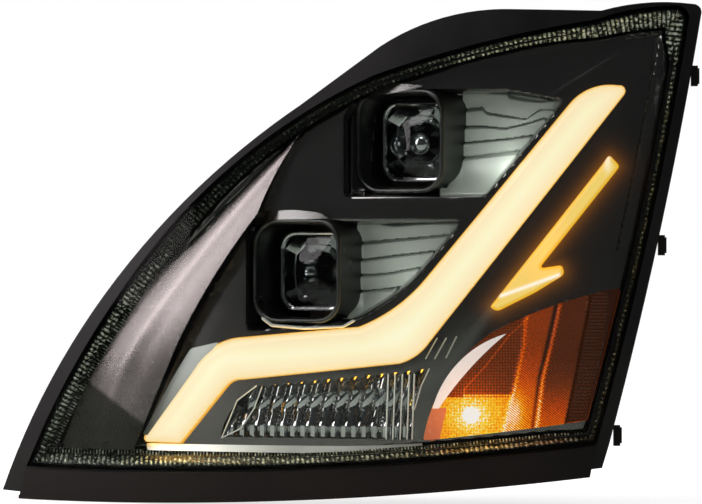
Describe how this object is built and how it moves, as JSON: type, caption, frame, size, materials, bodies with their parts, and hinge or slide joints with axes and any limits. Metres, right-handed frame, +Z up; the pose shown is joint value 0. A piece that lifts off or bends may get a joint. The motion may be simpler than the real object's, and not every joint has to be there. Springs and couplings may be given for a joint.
{
  "type": "vehicle headlight",
  "caption": "Swept vehicle headlight: curved clear lens over a black bezel with square lamps, a lit bar, an amber corner and a fluted window, with a tilting lamp carrier and studs behind.",
  "frame": {"origin": "centre of the four mounting studs, on the plane of their boss faces", "axes": "+Z up, -Y the direction the beams shine (vehicle forward), +X outboard, towards the amber corner"},
  "size_m": [0.6376, 0.2942, 0.4466],
  "materials": {
    "housing_black": "fine moulded texture",
    "steel_studs": "zinc plated",
    "clear_lens": "clear hard-coated polycarbonate",
    "sealant_black": "soft bead",
    "trim_black": "fine grain",
    "bezel_black": "satin black",
    "shroud_black": "satin black",
    "louvre_grey": "satin dark grey",
    "light_bar_white": "milky, lit",
    "tray_white": "white",
    "board_green": "solder mask",
    "led_yellow": "phosphor domes, lit",
    "accent_amber": "amber light guide, lit",
    "turn_amber": "faceted amber",
    "reflector_bright": "vacuum metallised",
    "parking_clear": "clear, fluted",
    "bracket_black": "moulded",
    "carrier_grey": "glass-filled, dark grey",
    "pin_steel": "turned",
    "module_glass": "clear, crowned",
    "adjuster_white": "acetal",
    "bulb_quartz": "quartz capsule",
    "bulb_amber": "amber, lit",
    "base_grey": "moulded",
    "seal_rubber": "moulded",
    "cap_black": "fine moulded texture",
    "driver_black": "moulded",
    "cooler_aluminium": "die cast",
    "connector_grey": "moulded",
    "pins_brass": "tin-plated blades"
  },
  "bodies": {
    "housing": {"rear_housing": "housing_black", "mounting_studs": "steel_studs", "driver_screws": "steel_studs", "outer_lens": "clear_lens", "lens_sealant": "sealant_black", "lower_trim_strip": "trim_black", "retainer_tabs": "trim_black", "inner_bezel": "bezel_black", "low_beam_shroud": "shroud_black", "high_beam_shroud": "shroud_black", "low_beam_louvre": "louvre_grey", "high_beam_louvre": "louvre_grey", "light_bar_diffuser": "light_bar_white", "light_bar_channel": "tray_white", "light_bar_board": "board_green", "accent_board": "board_green", "parking_board": "board_green", "light_bar_leds": "led_yellow", "accent_guide": "accent_amber", "turn_lens": "turn_amber", "marker_lens": "turn_amber", "turn_reflector": "reflector_bright", "parking_reflector": "reflector_bright", "parking_lens": "parking_clear", "pivot_brackets": "bracket_black", "vent_caps": "cap_black", "driver_case": "driver_black", "driver_heatsink": "cooler_aluminium", "harness_connector": "connector_grey", "connector_pins": "pins_brass"},
    "carrier": {"aim_carrier": "carrier_grey", "pivot_pins": "pin_steel", "low_beam_reflector": "reflector_bright", "low_beam_holder": "reflector_bright", "low_beam_glass": "module_glass", "low_bulb_shield": "reflector_bright", "high_beam_reflector": "reflector_bright", "high_beam_holder": "reflector_bright", "high_beam_glass": "module_glass", "high_bulb_shield": "reflector_bright"},
    "adjuster_rod": {"adjuster_rod": "adjuster_white"},
    "adjuster_nut": {"adjuster_nut": "adjuster_white"},
    "turn_seal": {"turn_socket_seal": "seal_rubber"},
    "turn_socket": {"turn_socket": "base_grey", "turn_bulb": "bulb_amber"},
    "marker_seal": {"marker_socket_seal": "seal_rubber"},
    "marker_socket": {"marker_socket": "base_grey", "marker_bulb": "bulb_quartz"},
    "low_bulb_seal": {"low_bulb_seal": "seal_rubber"},
    "low_bulb": {"low_bulb_base": "base_grey", "low_bulb_glass": "bulb_quartz"},
    "low_cap_seal": {"low_beam_cap_seal": "seal_rubber"},
    "low_cap": {"low_beam_cap": "cap_black"},
    "high_bulb_seal": {"high_bulb_seal": "seal_rubber"},
    "high_bulb": {"high_bulb_base": "base_grey", "high_bulb_glass": "bulb_quartz"},
    "high_cap_seal": {"high_beam_cap_seal": "seal_rubber"},
    "high_cap": {"high_beam_cap": "cap_black"}
  },
  "joints": [
    {"name": "vertical_aim", "type": "hinge", "parent": "housing", "child": "carrier", "pos_m": [0, -0.09, 0.074], "axis": [1, 0, 0], "range_deg": [-3, 3]},
    {"name": "adjuster_travel", "type": "slide", "parent": "housing", "child": "adjuster_nut", "axis": [0, 1, 0], "range_m": [-0.004, 0.004]},
    {"name": "adjuster_turn", "type": "hinge", "parent": "housing", "child": "adjuster_rod", "pos_m": [0.121, 0, 0.003], "axis": [0, 1, 0], "range_deg": [-675, 675]},
    {"name": "low_cap_pull", "type": "slide", "parent": "housing", "child": "low_cap_seal", "axis": [0, 1, 0], "range_m": [0, 0.045]},
    {"name": "low_cap_twist", "type": "hinge", "parent": "low_cap_seal", "child": "low_cap", "pos_m": [-0.031, 0, 0.017], "axis": [0, 1, 0], "range_deg": [0, 45]},
    {"name": "low_bulb_pull", "type": "slide", "parent": "carrier", "child": "low_bulb_seal", "axis": [0, 1, 0], "range_m": [0, 0.045]},
    {"name": "low_bulb_twist", "type": "hinge", "parent": "low_bulb_seal", "child": "low_bulb", "pos_m": [-0.031, -0.088, 0.017], "axis": [0, 1, 0], "range_deg": [0, 45]},
    {"name": "high_cap_pull", "type": "slide", "parent": "housing", "child": "high_cap_seal", "axis": [0, 1, 0], "range_m": [0, 0.045]},
    {"name": "high_cap_twist", "type": "hinge", "parent": "high_cap_seal", "child": "high_cap", "pos_m": [0.049, 0, 0.132], "axis": [0, 1, 0], "range_deg": [0, 45]},
    {"name": "high_bulb_pull", "type": "slide", "parent": "carrier", "child": "high_bulb_seal", "axis": [0, 1, 0], "range_m": [0, 0.045]},
    {"name": "high_bulb_twist", "type": "hinge", "parent": "high_bulb_seal", "child": "high_bulb", "pos_m": [0.049, -0.088, 0.132], "axis": [0, 1, 0], "range_deg": [0, 45]},
    {"name": "turn_socket_pull", "type": "slide", "parent": "housing", "child": "turn_seal", "axis": [0, 1, 0], "range_m": [0, 0.052]},
    {"name": "turn_socket_twist", "type": "hinge", "parent": "turn_seal", "child": "turn_socket", "pos_m": [0.104, -0.1, -0.107], "axis": [0, 1, 0], "range_deg": [0, 45]},
    {"name": "marker_socket_pull", "type": "slide", "parent": "housing", "child": "marker_seal", "axis": [-0.4695, 0.8829, 0], "range_m": [0, 0.036]},
    {"name": "marker_socket_twist", "type": "hinge", "parent": "marker_seal", "child": "marker_socket", "pos_m": [0.18192, -0.06523, -0.062], "axis": [-0.4695, 0.8829, 0], "range_deg": [0, 45]}
  ],
  "couplings": [
    {"joint": "adjuster_travel", "follows": "vertical_aim", "m_per_rad": 0.071},
    {"joint": "adjuster_turn", "follows": "vertical_aim", "ratio": 223}
  ]
}
